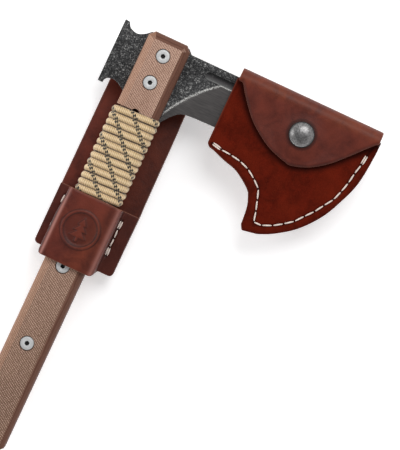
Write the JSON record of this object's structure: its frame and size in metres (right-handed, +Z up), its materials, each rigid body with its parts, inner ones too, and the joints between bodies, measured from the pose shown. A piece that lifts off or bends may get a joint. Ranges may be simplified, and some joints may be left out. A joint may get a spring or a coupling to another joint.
{
  "type": "compact felling hatchet",
  "caption": "Full-tang felling hatchet with a cord-wrapped handle, a stitched leather blade cover with a snap flap, and a sliding leather belt carrier.",
  "frame": {"origin": "under the middle of the whole, on the surface that the carrier lies on", "axes": "+X from the poll to the cutting edge, +Y from the butt of the handle to the head, +Z up through the thickness with the snap side on top"},
  "size_m": [0.1657, 0.2636, 0.0374],
  "materials": {
    "steel": "stonewashed dark coating",
    "micarta": "canvas laminate, matt",
    "bolt": "satin",
    "cord": "braided",
    "suede": "rough, flesh side out",
    "grain": "smooth, waxed",
    "thread": "waxed",
    "snap": "gunmetal"
  },
  "bodies": {
    "hatchet": {"blade_and_tang": "steel", "front_scale": "micarta", "rear_scale": "micarta", "scale_bolt_1": "bolt", "scale_bolt_2": "bolt", "scale_bolt_3": "bolt", "scale_bolt_4": "bolt", "scale_bolt_5": "bolt", "sleeve_nut_1": "bolt", "sleeve_nut_2": "bolt", "sleeve_nut_3": "bolt", "sleeve_nut_4": "bolt", "sleeve_nut_5": "bolt", "cord_wrap": "cord"},
    "cover": {"cover_front_panel": "suede", "cover_welt": "suede", "cover_rear_panel": "grain", "cover_fold": "grain", "cover_thread": "thread", "snap_stud": "snap", "snap_stud_post": "snap"},
    "flap": {"cover_flap": "grain", "snap_socket": "snap", "snap_cap": "snap"},
    "carrier": {"carrier_strap": "grain", "carrier_loop": "grain", "carrier_thread_left": "thread", "carrier_thread_right": "thread"}
  },
  "joints": [
    {"name": "cover_pull_off", "type": "slide", "parent": "hatchet", "child": "cover", "axis": [0, -1, 0], "range_m": [0, 0.085]},
    {"name": "flap_hinge", "type": "hinge", "parent": "cover", "child": "flap", "pos_m": [0.0383, 0.13185, 0.02585], "axis": [-1, 0, 0], "range_deg": [0, 195], "deforming": ["cover_fold"]},
    {"name": "carrier_slide_off", "type": "slide", "parent": "hatchet", "child": "carrier", "axis": [0, -1, 0], "range_m": [0, 0.165]}
  ]
}
